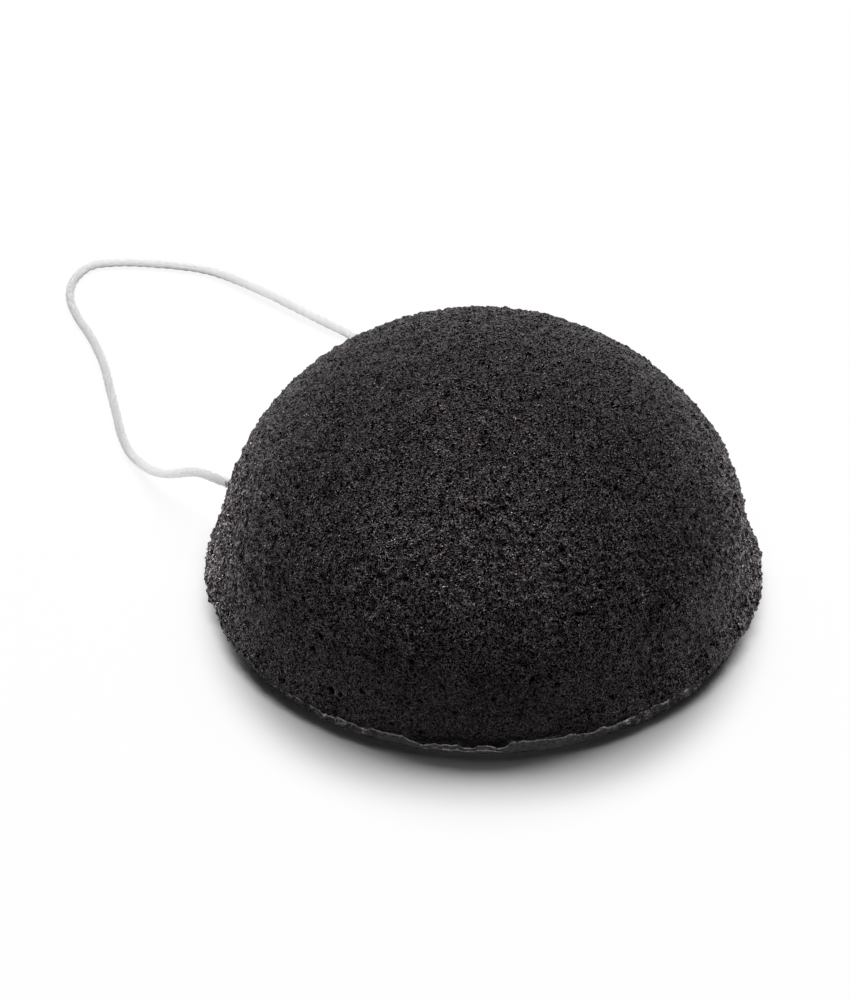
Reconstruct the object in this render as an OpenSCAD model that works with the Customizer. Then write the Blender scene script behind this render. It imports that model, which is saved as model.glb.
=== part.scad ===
// Konjac facial sponge: a moulded half-ball of foam with a cotton hanging cord
// Millimetres, +Z up. The origin is the centre of the flat base, where the sponge stands.
// The hanging loop lies on the surface towards +Y.

/* [Sponge] */
// Height of the half-ball above its flat base
sponge_h = 39.2; // [34:0.1:46]
// Radius of the dome just above its rolled lip
dome_r = 38.5; // [34:0.5:44]
// How far the rolled lip swells out past the dome
lip_out = 2.1; // [0.5:0.1:4]
// Height of the lip's fullest line above the base
lip_z = 2.4; // [1.8:0.1:4]
// Height over which the lip fades into the dome
lip_fade_h = 3.2; // [2:0.1:5]
// How far the foot of the lip is drawn in at the base
toe_in = 1.4; // [0.5:0.1:2.5]
// Height over which that draw-in fades
toe_fade_h = 2.4; // [1.5:0.1:4]

/* [Base skin] */
// Height of the thin moulded skin round the base
skin_h = 1; // [0.6:0.1:1.5]
// Depth of the crack line between the skin and the lip
crack_in = 0.5; // [0.2:0.1:1]
// Height of the crack line
crack_h = 0.4; // [0.2:0.1:0.8]

/* [Cord] */
// Diameter of the twisted cotton cord
cord_d = 1.4; // [1:0.1:1.8]
// Gap all round the cord where it runs through the foam
channel_gap = 0.05; // [0.02:0.01:0.2]

/* [Threading channel] */
// Distance across between the channel's two mouths
mouth_span = 46.6; // [40:0.2:54]
// Height of the channel above the base
mouth_z = 10.6; // [8:0.1:16]
// Lean of the cord outwards from +Y where it leaves a mouth, in degrees
mouth_lean = 20; // [10:1:30]
// Width of the dimple that the cord pulls in at each mouth
dimple_d = 3; // [2:0.1:4.5]
// Length of cord that stands out of each mouth before it bends
mouth_stub = 0.8; // [0.5:0.1:1.5]

/* [Knot] */
// Width of the eye in the middle of the overhand knot's ring of turns
knot_eye = 0.4; // [0.2:0.1:1.2]
// Thickness of the knot
knot_t = 3.4; // [3:0.1:3.6]
// Length of straight cord on each side of the knot's middle
knot_lead = 4.5; // [4:0.1:5.5]

/* [Hidden] */

$fn = 96;
CORD_SIDES = 8;
BUNDLE_SIDES = 12;
LIP_STEPS = 16;
DOME_STEPS = 26;

// Fullness of the dome: a plain ellipsoid has 2 and 0.5
shoulder_share = 2.6;
crown_share = 0.53;

foam_colour = [0.17, 0.16, 0.17];
cotton_colour = [0.94, 0.94, 0.92];

// How far a cut runs past the surface that it opens
cut_past = 1;

cord_r = cord_d / 2;
channel_r = cord_r + channel_gap;

// The channel is an arc in a level plane that joins the two mouths
mouth_x = mouth_span / 2;
mouth_y = sqrt(pow(foam_r(mouth_z), 2) - pow(mouth_x, 2));
arc_r = mouth_x / cos(mouth_lean);
arc_y = mouth_y + arc_r * sin(mouth_lean);
exit_lean = mouth_lean - arc_turn(mouth_stub);

// The knot's ring of turns lies flat, and the cords pass along its +Y edge, one above the other
knot_x = 31;
knot_y = 49;
bundle_r = knot_t / 2;
ring_r = knot_eye / 2 + bundle_r;
lead_out = 0.4;
lead_lift = 0.3;
lead_gap = 0.05;
lead_y = knot_y + ring_r + lead_out;
low_z = cord_r + lead_lift;
high_z = low_z + cord_d + lead_gap;

// Where the hanging loop's cord lies, between the mouth at -X and the knot
LOOP_POINTS = [
    [-24.4, 33.6, 10.4], [-24.2, 36.6, 9.2], [-23.9, 39.8, 7.4],
    [-24.0, 43.2, 5.2], [-24.4, 46.8, 3.3], [-24.4, 50.4, 2.0], [-23.9, 54.2, 1.1],
    [-23.3, 57.6, 0.8], [-21.6, 62.2, 0.7], [-19.3, 67.0, 0.7], [-16.5, 72.9, 0.7],
    [-13.4, 79.5, 0.7], [-11.0, 86.6, 0.7], [-9.3, 93.6, 0.7], [-7.3, 98.4, 0.7],
    [-4.2, 102.0, 0.7], [0.3, 103.9, 0.7], [4.6, 102.0, 0.7], [9.6, 97.6, 0.7],
    [14.2, 92.2, 0.7], [16.3, 86.8, 0.9], [17.6, 80.9, 1.2], [19.0, 74.6, 1.2],
    [20.3, 68.6, 1.1], [21.8, 62.8, 0.9], [22.0, 58.6, 0.7], [22.0, 55.2, 0.7],
    [22.9, 52.8, 0.8], [24.6, 51.6, 1.0]
];

// Where the cord lies between the mouth at +X and the knot
RETURN_POINTS = [
    [24.4, 33.6, 10.4], [24.9, 36.4, 9.2], [24.9, 39.0, 7.6], [24.4, 41.6, 6.0],
    [23.8, 44.2, 4.6], [23.4, 46.6, 3.5], [23.6, 48.8, 2.8], [24.7, 50.5, 2.5]
];

// Where the two cut ends lie, past the knot
LOW_TAIL_POINTS = [[37.3, 51.1, 0.9], [38.9, 50.1, 0.7], [40.0, 48.5, 0.7], [40.7, 46.4, 0.7]];
HIGH_TAIL_POINTS = [[37.4, 51.4, 2.4], [39.2, 51.8, 1.9], [41.0, 51.6, 1.1], [43.0, 50.7, 0.7]];

// Radius of the dome with its lip, at a height
function foam_r(z) =
    dome_r * pow(1 - pow(z / sponge_h, shoulder_share), crown_share)
    + lip_out * exp(-pow((z - lip_z) / lip_fade_h, 2))
    - toe_in * exp(-pow(z / toe_fade_h, 2));

// Heights up the dome from its foot, crowding towards the crown, where the outline turns in fastest
function dome_z(i, foot) =
    let (foot_turn = asin(pow(foot / sponge_h, shoulder_share / 2)))
    sponge_h * pow(sin(foot_turn + (90 - foot_turn) * i / DOME_STEPS), 2 / shoulder_share);

function unit(v) = v / norm(v);

// Angle that a length covers along the channel's arc
function arc_turn(length) = length / arc_r * 180 / PI;

// Where the cord leaves the mouth on one side (-1 or 1), and which way it points there
function exit_point(side) = [
    side * arc_r * cos(exit_lean),
    arc_y - arc_r * sin(exit_lean),
    mouth_z
];
function exit_way(side) = [side * sin(exit_lean), cos(exit_lean), 0];

// Where a cord meets the knot on one side (-1 or 1), at a height
function lead_end(side, z) = [knot_x + side * knot_lead, lead_y, z];

// A point on the smooth curve through p, a share t of the way from point i to the next
function curve_point(p, i, t) =
    let (
        last = len(p) - 1,
        a = p[max(i - 1, 0)],
        b = p[i],
        c = p[min(i + 1, last)],
        d = p[min(i + 2, last)]
    )
    (2 * b + (c - a) * t + (2 * a - 5 * b + 4 * c - d) * t * t + (3 * b - a - 3 * c + d) * t * t * t) / 2;

// The curve's points, with one more between each pair of the route's own points
function smooth_route(p) = concat(
    [for (i = [0 : len(p) - 2], t = [0, 0.5]) curve_point(p, i, t)],
    [p[len(p) - 1]]
);

// Direction of travel at a ring; each end is square to the straight cord that it meets
function heading(p, i, first, final) =
    i == 0 ? first :
    i == len(p) - 1 ? final :
    unit(p[i + 1] - p[i - 1]);

// One unbroken tube of the cord's diameter along a route
module cord_tube(route, first, final) {
    p = smooth_route(route);
    rings = len(p);
    points = [
        for (i = [0 : rings - 1])
            let (
                along = unit(heading(p, i, first, final)),
                side = unit(cross(along, [0, 0, 1])),
                up = cross(side, along)
            )
            for (k = [0 : CORD_SIDES - 1])
                let (turn = 360 * (k + 0.5) / CORD_SIDES)
                p[i] + cord_r * (cos(turn) * side + sin(turn) * up)
    ];
    walls = [
        for (i = [0 : rings - 2], k = [0 : CORD_SIDES - 1])
            let (
                a = i * CORD_SIDES + k,
                b = i * CORD_SIDES + (k + 1) % CORD_SIDES,
                c = b + CORD_SIDES,
                d = a + CORD_SIDES
            )
            each [[a, b, c], [a, c, d]]
    ];
    near_end = [for (k = [CORD_SIDES - 1 : -1 : 0]) k];
    far_end = [for (k = [0 : CORD_SIDES - 1]) (rings - 1) * CORD_SIDES + k];
    polyhedron(points, concat(walls, [near_end], [far_end]));
}

// A round bar bent along the threading channel, reaching the same length past each mouth
module channel_arc(radius, past) {
    start = mouth_lean - arc_turn(past);
    sweep = 180 - 2 * start;
    translate([0, arc_y, mouth_z])
        rotate([0, 0, 180 + start])
            rotate_extrude(angle = sweep)
                translate([arc_r, 0])
                    circle(r = radius);
}

// A level straight bar of cord through the knot
module lead_bar(z) {
    translate([knot_x - knot_lead, lead_y, z])
        rotate([0, 90, 0])
            cylinder(h = 2 * knot_lead, r = cord_r);
}

// The moulded foam: flat base, thin skin, crack line, rolled lip and dome
module sponge_body() {
    lip_start = skin_h + crack_h;
    dome_start = lip_z + 2 * lip_fade_h;
    skin_r = foam_r(0);
    lip_heights = [for (i = [0 : LIP_STEPS - 1]) lip_start + (dome_start - lip_start) * i / LIP_STEPS];
    dome_heights = [for (i = [0 : DOME_STEPS - 1]) dome_z(i, dome_start)];
    outline = concat(
        [
            [0, 0],
            [skin_r, 0],
            [skin_r, skin_h],
            [skin_r - crack_in, skin_h + crack_h / 2]
        ],
        [for (z = concat(lip_heights, dome_heights)) [foam_r(z), z]],
        [[0, sponge_h]]
    );
    color(foam_colour)
        difference() {
            rotate_extrude()
                polygon(outline);
            channel_arc(channel_r, mouth_stub + cut_past);
            for (side = [-1, 1])
                translate([side * mouth_x, mouth_y, mouth_z])
                    sphere(d = dimple_d);
        }
}

// The stretch of cord inside the foam
module threaded_cord() {
    color(cotton_colour)
        channel_arc(cord_r, mouth_stub);
}

module hanging_loop() {
    route = concat([exit_point(-1)], LOOP_POINTS, [lead_end(-1, low_z)]);
    color(cotton_colour)
        cord_tube(route, exit_way(-1), [1, 0, 0]);
}

module return_leg() {
    route = concat([exit_point(1)], RETURN_POINTS, [lead_end(-1, high_z)]);
    color(cotton_colour)
        cord_tube(route, exit_way(1), [1, 0, 0]);
}

// Both cords tied together in one overhand knot
module loop_knot() {
    color(cotton_colour)
        union() {
            translate([knot_x, knot_y, bundle_r])
                rotate_extrude()
                    translate([ring_r, 0])
                        rotate(180 / BUNDLE_SIDES)
                            circle(r = bundle_r, $fn = BUNDLE_SIDES);
            lead_bar(low_z);
            lead_bar(high_z);
        }
}

// One cut end, from the knot outwards
module tail(z, points) {
    last = len(points) - 1;
    route = concat([lead_end(1, z)], points);
    cord_tube(route, [1, 0, 0], unit(points[last] - points[last - 1]));
}

module cord_tails() {
    color(cotton_colour) {
        tail(low_z, LOW_TAIL_POINTS);
        tail(high_z, HIGH_TAIL_POINTS);
    }
}

sponge_body();
threaded_cord();
hanging_loop();
return_leg();
loop_knot();
cord_tails();
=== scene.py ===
from itertools import product
from math import ceil, cos, degrees, pi, radians, sin, sqrt

import bpy
import numpy as np
from mathutils import Matrix, Vector
from numpy.linalg import norm


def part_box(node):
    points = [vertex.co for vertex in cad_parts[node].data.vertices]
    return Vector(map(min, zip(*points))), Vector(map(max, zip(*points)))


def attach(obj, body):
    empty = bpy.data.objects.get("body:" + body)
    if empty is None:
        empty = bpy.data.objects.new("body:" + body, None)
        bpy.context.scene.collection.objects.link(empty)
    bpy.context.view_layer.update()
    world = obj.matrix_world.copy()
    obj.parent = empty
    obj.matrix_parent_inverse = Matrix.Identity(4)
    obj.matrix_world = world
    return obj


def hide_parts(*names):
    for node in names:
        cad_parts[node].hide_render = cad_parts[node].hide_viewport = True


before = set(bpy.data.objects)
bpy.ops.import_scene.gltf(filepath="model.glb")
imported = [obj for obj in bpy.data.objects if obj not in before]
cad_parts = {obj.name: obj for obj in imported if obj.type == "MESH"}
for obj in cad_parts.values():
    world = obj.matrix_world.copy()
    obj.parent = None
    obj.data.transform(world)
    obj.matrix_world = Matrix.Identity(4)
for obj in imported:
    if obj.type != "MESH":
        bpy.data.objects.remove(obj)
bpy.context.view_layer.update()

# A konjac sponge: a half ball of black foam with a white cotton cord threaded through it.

MM = 0.001  # metres in a millimetre, in which the shapes below are worked out


# Camera

PHOTO_W = 850  # px
PHOTO_H = 1000  # px
FOCUS_PX = 4135.5  # the photograph's focal length in its own pixels
SENSOR_MM = 36  # the sensor's long side
CAMERA_FAR = 0.6  # m from the middle of the base
CAMERA_AZIMUTH = radians(-38)
CAMERA_ELEVATION = radians(37.5)
BASE_PX = (484.1, 583.0)  # where the middle of the base lies in the photograph


def camera_axes():
    """The camera's right, up and back directions."""
    sin_a, cos_a = sin(CAMERA_AZIMUTH), cos(CAMERA_AZIMUTH)
    sin_e, cos_e = sin(CAMERA_ELEVATION), cos(CAMERA_ELEVATION)
    back = Vector((sin_a * cos_e, -cos_a * cos_e, sin_e))
    right = Vector((cos_a, sin_a, 0))
    return right, back.cross(right), back


def make_camera():
    """Looks at the sponge from the photograph's place."""
    right, up, back = camera_axes()
    data = bpy.data.cameras.new("camera")
    data.sensor_width = SENSOR_MM
    data.lens = FOCUS_PX / max(PHOTO_W, PHOTO_H) * SENSOR_MM
    aim_x = (PHOTO_W / 2 - BASE_PX[0]) / FOCUS_PX * CAMERA_FAR
    aim_y = (BASE_PX[1] - PHOTO_H / 2) / FOCUS_PX * CAMERA_FAR
    camera = bpy.data.objects.new("camera", data)
    camera.location = back * CAMERA_FAR
    toward = right * aim_x + up * aim_y - camera.location
    camera.rotation_euler = toward.to_track_quat("-Z", "Y").to_euler()
    bpy.context.collection.objects.link(camera)
    bpy.context.scene.camera = camera


# Routes of the cord, in metres

CORD_D = 1.4  # mm
MOUTH_SPAN = 46.6  # mm between the two mouths of the channel
MOUTH_Z = 10.6  # mm
MOUTH_LEAN = 20  # degrees, by which the channel's ends splay
MOUTH_STUB = 0.8  # mm of the channel past the foam's surface
LOOP_ROUTE = [
    (-0.0244, 0.0336, 0.0104), (-0.0242, 0.0366, 0.0092), (-0.0239, 0.0398, 0.0074),
    (-0.0240, 0.0432, 0.0052), (-0.0244, 0.0468, 0.0033), (-0.0244, 0.0504, 0.0020),
    (-0.0239, 0.0542, 0.0011), (-0.0233, 0.0576, 0.0008), (-0.0216, 0.0622, 0.0007),
    (-0.0193, 0.0670, 0.0007), (-0.0165, 0.0729, 0.0007), (-0.0134, 0.0795, 0.0007),
    (-0.0110, 0.0866, 0.0007), (-0.0093, 0.0936, 0.0007), (-0.0073, 0.0984, 0.0007),
    (-0.0042, 0.1020, 0.0007), (0.0003, 0.1039, 0.0007), (0.0046, 0.1020, 0.0007),
    (0.0096, 0.0976, 0.0007), (0.0142, 0.0922, 0.0007), (0.0163, 0.0868, 0.0009),
    (0.0176, 0.0809, 0.0012), (0.0190, 0.0746, 0.0012), (0.0203, 0.0686, 0.0011),
    (0.0218, 0.0628, 0.0009), (0.0220, 0.0586, 0.0007), (0.0220, 0.0552, 0.0007),
    (0.0229, 0.0528, 0.0008), (0.0246, 0.0516, 0.0010),
]
RETURN_ROUTE = [
    (0.0244, 0.0336, 0.0104), (0.0249, 0.0364, 0.0092), (0.0249, 0.0390, 0.0076),
    (0.0244, 0.0416, 0.0060), (0.0238, 0.0442, 0.0046), (0.0234, 0.0466, 0.0035),
    (0.0236, 0.0488, 0.0028), (0.0247, 0.0505, 0.0025),
]
LOW_TAIL_ROUTE = [
    (0.0373, 0.0511, 0.0009), (0.0389, 0.0501, 0.0007), (0.0400, 0.0485, 0.0007),
    (0.0407, 0.0464, 0.0007),
]
HIGH_TAIL_ROUTE = [
    (0.0374, 0.0514, 0.0024), (0.0392, 0.0518, 0.0019), (0.0410, 0.0516, 0.0011),
    (0.0430, 0.0507, 0.0007),
]
KNOT_X = 31  # mm
KNOT_Y = 49  # mm
KNOT_LEAD = 4.5  # mm from the knot's middle to the end of each straight lead
LEAD_Y = 51.3  # mm, the line along which the leads enter and leave the knot
LOW_Z = 1.0  # mm, the lower strand's height there
HIGH_Z = 2.45  # mm, the upper strand's height there


def distances(points):
    """How far along the line each of its points lies."""
    return np.concatenate([[0], np.cumsum(norm(np.diff(points, axis=0), axis=1))])


def length_of(points):
    return float(distances(points)[-1])


def even(points, step):
    """The same line with points at even steps of about that size."""
    points = np.asarray(points, float)
    along = distances(points)
    count = max(2, round(along[-1] / step) + 1)
    where = np.linspace(0, along[-1], count)
    return np.stack([np.interp(where, along, axis) for axis in points.T], 1)


def curved(points, parts=12):
    """A smooth curve through the points."""
    points = np.asarray(points, float)
    padded = np.vstack([points[0], points, points[-1]])
    share = (np.arange(parts) / parts)[:, None]
    runs = []
    for a, b, c, d in zip(padded, padded[1:], padded[2:], padded[3:]):
        bend = (2 * a - 5 * b + 4 * c - d) * share**2
        turn = (3 * b - a - 3 * c + d) * share**3
        runs.append((2 * b + (c - a) * share + bend + turn) / 2)
    return np.vstack([*runs, points[-1:]])


def in_mm(route):
    return np.array(route) / MM


# The knot: both strands tied together in one overhand knot, then pulled tight

KNOT_RING = 3.6  # mm, radius of the loose knot
KNOT_TURN = 1.8  # mm, by which its strands swing about that ring
KNOT_LAPS = 2  # times that a strand goes round the ring
KNOT_SWINGS = 3  # times that it swings in and out on its way
KNOT_SWEEP = (22.5, 337.5)  # degrees of that closed path that a strand takes
KNOT_POINTS = 80  # on that path
KNOT_PHASE = 48  # degrees between a strand and the middle of the pair
KNOT_ON = (1.5, 3)  # mm that a strand runs straight on past the ring
KNOT_REACH = 16  # mm of lead on each side that the knot may draw in
KNOT_LEVEL = 0.75  # share of that reach from which the lead lies level
KNOT_COUNT = 120  # points on a strand that is pulled
KNOT_STEP = 0.58  # mm between them once the knot is tight
KNOT_PULLS = 1500
KNOT_DRAW = 0.75  # share of the pulls in which the knot is drawn in
KNOT_ROUNDS = 12  # corrections of the segments' lengths in a pull
KNOT_TOUCH = 1.36  # mm, at which the strands push each other apart
KNOT_NEXT = 2.3  # mm along a strand within which it doesn't push itself
KNOT_STIFF = 0.5  # share of each bend that straightens in a pull


def loose_strand(phase, z_in, z_out):
    """One strand of the knot before it is pulled, about the knot's own place."""
    turn = np.radians(np.linspace(*KNOT_SWEEP, KNOT_POINTS))
    lap = KNOT_LAPS * turn
    wave = KNOT_SWINGS * turn + radians(phase)
    out = KNOT_RING + KNOT_TURN * np.cos(wave)
    middle = (LOW_Z + HIGH_Z) / 2
    ring = np.stack([out * np.sin(lap), out * np.cos(lap), KNOT_TURN * np.sin(wave) + middle], 1)
    first, last = ring[0], ring[-1]
    before = (first - ring[1]) / norm(first - ring[1])
    after = (last - ring[-2]) / norm(last - ring[-2])
    lead = LEAD_Y - KNOT_Y
    side = np.array([KNOT_LEAD / 2, 0, 0])
    level = KNOT_REACH * KNOT_LEVEL
    near, far = KNOT_ON
    head = [(-KNOT_REACH, lead, z_in), (-level, lead, z_in), first + before * far - side]
    tail = [last + after * far + side, (level, lead, z_out), (KNOT_REACH, lead, z_out)]
    strand = np.vstack([head, first + before * near, ring, last + after * near, tail])
    return even(strand, length_of(strand) / (KNOT_COUNT - 1))


def pushed_apart(lines, step):
    """The strands moved off each other where they are closer than a cord is thick."""
    flat = lines.reshape(-1, 3)
    strand, place = np.divmod(np.arange(len(flat)), lines.shape[1])
    far_along = np.abs(place[:, None] - place) > ceil(KNOT_NEXT / step)
    allowed = (strand[:, None] != strand) | far_along
    between = flat[:, None] - flat
    far = norm(between, axis=2) + 1e-9
    deep = np.where(allowed & (far < KNOT_TOUCH), KNOT_TOUCH - far, 0)
    push = (between / far[..., None] * deep[..., None]).sum(1)
    touching = np.maximum((deep > 0).sum(1), 1)[:, None]
    return (flat + 0.5 * push / touching * np.minimum(touching, 2)).reshape(lines.shape)


def drawn_in(lines, steps, ends):
    """The strands with each segment brought to its length and their ends held."""
    for _ in range(KNOT_ROUNDS):
        for odd in (0, 1):
            a, b = lines[:, odd:-1:2], lines[:, odd + 1 :: 2]
            gap = b - a
            far = norm(gap, axis=2, keepdims=True)
            fix = 0.5 * (far - steps[:, None, None]) * gap / far
            a += fix
            b -= fix
        lines[:, [0, -1]] = ends
    return lines


def tight_knot():
    """The two strands of the knot, in mm, cut where its straight leads begin."""
    lines = np.array([loose_strand(KNOT_PHASE, LOW_Z, HIGH_Z), loose_strand(-KNOT_PHASE, HIGH_Z, LOW_Z)])
    ends = lines[:, [0, -1]].copy()
    first = norm(np.diff(lines, axis=1), axis=2).mean(1)
    for pull in range(KNOT_PULLS):
        share = min(1, pull / (KNOT_PULLS * KNOT_DRAW))
        steps = first * (1 - share) + KNOT_STEP * share
        straight = (lines[:, :-2] + lines[:, 2:]) / 2 - lines[:, 1:-1]
        lines[:, 1:-1] += KNOT_STIFF * straight
        lines = drawn_in(pushed_apart(lines, steps.min()), steps, ends)
        lines[..., 2] = np.maximum(lines[..., 2], CORD_D / 2)
    strands = []
    for line in lines:
        start = np.argmax(line[:, 0] > -KNOT_LEAD)
        end = len(line) - np.argmax(line[::-1, 0] < KNOT_LEAD)
        strands.append(line[start:end] + [KNOT_X, KNOT_Y, 0])
    return strands


# Noise and soft steps

def hashed(cells, seed):
    """A number from 0 to 1 for each cell of a grid, mixed from its place and the seed."""
    with np.errstate(over="ignore"):
        x, y, z = (cells[..., k].astype(np.int64).astype(np.uint32) for k in range(3))
        h = (x * np.uint32(0x8DA6B343)) ^ (y * np.uint32(0xD8163841)) ^ (z * np.uint32(0xCB1AB31F))
        h ^= np.uint32((seed * 0x9E3779B9) & 0xFFFFFFFF)
        for shift, factor in ((16, 0x7FEB352D), (15, 0x846CA68B)):
            h ^= h >> np.uint32(shift)
            h *= np.uint32(factor)
        h ^= h >> np.uint32(16)
    return h / 2.0**32


def noise(points, size, seed):
    """Smooth noise from -1 to 1 whose blobs are about size across."""
    place = points / size
    cell = np.floor(place)
    part = place - cell
    part = part**3 * (part * (part * 6 - 15) + 10)
    total = np.zeros(len(points))
    for corner in product((0, 1), repeat=3):
        weight = np.prod(np.where(corner, part, 1 - part), axis=1)
        total += weight * hashed(cell + corner, seed)
    return total * 2 - 1


def nearest_two(points, size, seed):
    """Distances, in cells, to the nearest two of a scattering of points, and a number from 0 to 1
    that the nearest has for its own."""
    place = points / size
    cell = np.floor(place)
    first = np.full(len(points), 9.0)
    second = first.copy()
    own = np.zeros(len(points))
    for corner in product((-1, 0, 1), repeat=3):
        near = cell + corner
        spot = near + np.stack([hashed(near, seed + k) for k in range(3)], 1)
        far = norm(spot - place, axis=1)
        closer = far < first
        second = np.where(closer, first, np.minimum(second, far))
        own = np.where(closer, hashed(near, seed + 3), own)
        first = np.where(closer, far, first)
    return first, second, own


def eased(value, low, high):
    """0 below low, 1 above high and smooth between."""
    share = np.clip((value - low) / (high - low), 0, 1)
    return share * share * (3 - 2 * share)


def hump(value, middle, spread):
    """1 at the middle and less with the distance from it."""
    return np.exp(-(((value - middle) / spread) ** 2))


def waves(points, layers):
    """Noise of several sizes added up. Each layer is its size in mm, its seed and its height."""
    return sum(noise(points, size, seed) * high for size, seed, high in layers)


# Twisted cord

PLIES = 3
PLY_R = 0.41  # mm, radius of a ply
PLY_SWING = 0.29  # mm from the cord's centreline to a ply's
PLY_PITCH = 4.6  # mm for one turn of the twist
CORD_SIDES = 30  # corners round the cord
RING_STEP = 0.35  # mm between the rings of a cord
GROOVE_SOFT = 0.4  # share of the grooves between the plies that the fibres fill
FUZZ = [(0.7, 91, 0.03), (0.35, 92, 0.03)]  # its unevenness: size in mm, seed and mm
INSIDE = 2.5  # mm of cord made past each mouth, inside the foam
JOIN_STEP = 0.25  # mm between points where the stretches of a cord are joined
JOIN_ROUNDS = 12  # rounds that ease the kinks there


def frames_along(points):
    """Two directions square to the line at each point, which turn with it as little as they can."""
    ahead = np.gradient(points, axis=0)
    ahead /= norm(ahead, axis=1, keepdims=True)
    side = np.zeros_like(points)
    last = np.cross(ahead[0], [0, 0, 1])
    for k, way in enumerate(ahead):
        last = last - way * (last @ way)
        last /= norm(last)
        side[k] = last
    return side, np.cross(ahead, side)


def twisted_tube(points):
    """Corners and faces of a cord of twisted plies round its centreline."""
    side, up = frames_along(points)
    along = distances(points)[:, None]
    angle = np.arange(CORD_SIDES)[None] / CORD_SIDES * 2 * pi
    off = (angle - along / PLY_PITCH * 2 * pi) % (2 * pi / PLIES) - pi / PLIES
    edge = PLY_SWING * np.cos(off) + np.sqrt(PLY_R**2 - (PLY_SWING * np.sin(off)) ** 2)
    full = PLY_SWING + PLY_R
    radius = (full + (edge - full) * (1 - GROOVE_SOFT))[..., None]
    way = side[:, None] * np.cos(angle)[..., None] + up[:, None] * np.sin(angle)[..., None]
    corners = (points[:, None] + way * radius).reshape(-1, 3)
    corners += way.reshape(-1, 3) * waves(corners, FUZZ)[:, None]
    rings = np.arange(len(corners)).reshape(-1, CORD_SIDES)
    faces = []
    for low, high in zip(rings, rings[1:]):
        faces += np.stack([low, np.roll(low, -1), np.roll(high, -1), high], 1).tolist()
    return corners, [*faces, rings[0, ::-1].tolist(), rings[-1].tolist()]


def mesh_piece(name, corners, faces, material):
    """A piece from corners in mm."""
    mesh = bpy.data.meshes.new(name)
    mesh.from_pydata((np.asarray(corners) * MM).tolist(), [], faces)
    mesh.validate()
    mesh.update()
    mesh.polygons.foreach_set("use_smooth", [True] * len(mesh.polygons))
    mesh.materials.append(material)
    piece = bpy.data.objects.new(name, mesh)
    bpy.context.collection.objects.link(piece)
    return piece


def relaxed(points, rounds):
    """A line with its small kinks eased and its ends kept."""
    points = points.copy()
    for _ in range(rounds):
        points[1:-1] += 0.25 * (points[:-2] - 2 * points[1:-1] + points[2:])
    return points


# Foam

SPONGE_LOW, SPONGE_HIGH = (np.array(corner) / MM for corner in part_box("sponge_body"))
SPONGE_H = SPONGE_HIGH[2] - SPONGE_LOW[2]
LIP_R = (SPONGE_HIGH[0] - SPONGE_LOW[0]) / 2
LIP_OUT = 2.1  # mm, by which the lip at the foot stands out
LIP_Z = 2.4  # mm, height of its widest line
LIP_FADE = 3.2  # mm of height over which it fades
TOE_IN = 1.4  # mm, by which the foot draws in at the floor
TOE_FADE = 2.4  # mm of height over which that fades
DOME_R = LIP_R - 1.7  # mm, radius of the dome without its lip
SHOULDER_SHARE = 2.6  # power of the dome's outline, which fills its shoulder
CROWN_SHARE = 0.53  # power that rounds its crown
OUTLINE_POINTS = 4000
CHANNEL_POINTS = 60


def foam_r(z):
    """Radius of the foam at a height, in mm."""
    dome = DOME_R * np.maximum(1 - (np.maximum(z, 0) / SPONGE_H) ** SHOULDER_SHARE, 0) ** CROWN_SHARE
    lip = LIP_OUT * hump(z, LIP_Z, LIP_FADE)
    toe = TOE_IN * hump(z, 0, TOE_FADE)
    return dome + (lip - toe) * (z < SPONGE_H)


def channel_arc():
    """The channel's level arc: its radius and the y of its middle in mm, and its lean at the exits."""
    half = MOUTH_SPAN / 2
    lean = radians(MOUTH_LEAN)
    arc_r = half / cos(lean)
    mouth_y = sqrt(foam_r(np.array(MOUTH_Z)) ** 2 - half**2)
    return arc_r, mouth_y + arc_r * sin(lean), lean - MOUTH_STUB / arc_r


def mouth_place(sign):
    """Where the cord leaves a channel mouth, in mm, and the direction in which it does."""
    arc_r, arc_y, lean = channel_arc()
    place = np.array([sign * arc_r * cos(lean), arc_y - arc_r * sin(lean), MOUTH_Z])
    way = np.array([sign * sin(lean), cos(lean), 0])
    return place, way


def channel_line():
    """The level arc that the cord follows inside the foam, from one exit to the other, in mm."""
    arc_r, arc_y, lean = channel_arc()
    turn = np.linspace(pi + lean, 2 * pi - lean, CHANNEL_POINTS)
    return points_round(turn, arc_r, turn * 0 + MOUTH_Z) + [0, arc_y, 0]


FOAM_N = 280  # squares along a side of the crown's grid
CROWN_ARC = 34.0  # mm of the outline that the crown's grid takes, from the top down
SIDE_ROWS = 140
SLOPE_STEP = 0.2  # mm each way over which the outline's slope is taken


def outline():
    """The foam's outline from the top to the foot: arc length, radius and height, in mm."""
    turn = np.linspace(0, pi / 2, OUTLINE_POINTS)
    z = SPONGE_H * np.cos(turn) ** (2 / SHOULDER_SHARE)
    r = foam_r(z)
    r[0] = 0
    arc = np.concatenate([[0], np.cumsum(np.hypot(np.diff(r), np.diff(z)))])
    return arc, r, z


def disc_grid(n):
    """Radius from 0 to 1 and azimuth of an n by n grid of squares laid over a disc."""
    line = np.linspace(-1, 1, n + 1)
    a, b = np.meshgrid(line, line, indexing="ij")
    flat = np.abs(a) > np.abs(b)
    big, small = np.where(flat, a, b), np.where(flat, b, a)
    lean = pi / 4 * small / np.where(big == 0, 1, big)
    angle = np.where(flat, lean, pi / 2 - lean) + pi * (big < 0)
    return np.abs(big).ravel(), angle.ravel()


def rim_of_grid(radius, angle):
    """Numbers of the grid's outer points, in the order of their azimuth."""
    rim = np.flatnonzero(radius > 1 - 1e-9)
    turn = np.round(angle[rim] % (2 * pi), 9)
    return rim[np.argsort(turn)]


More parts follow.
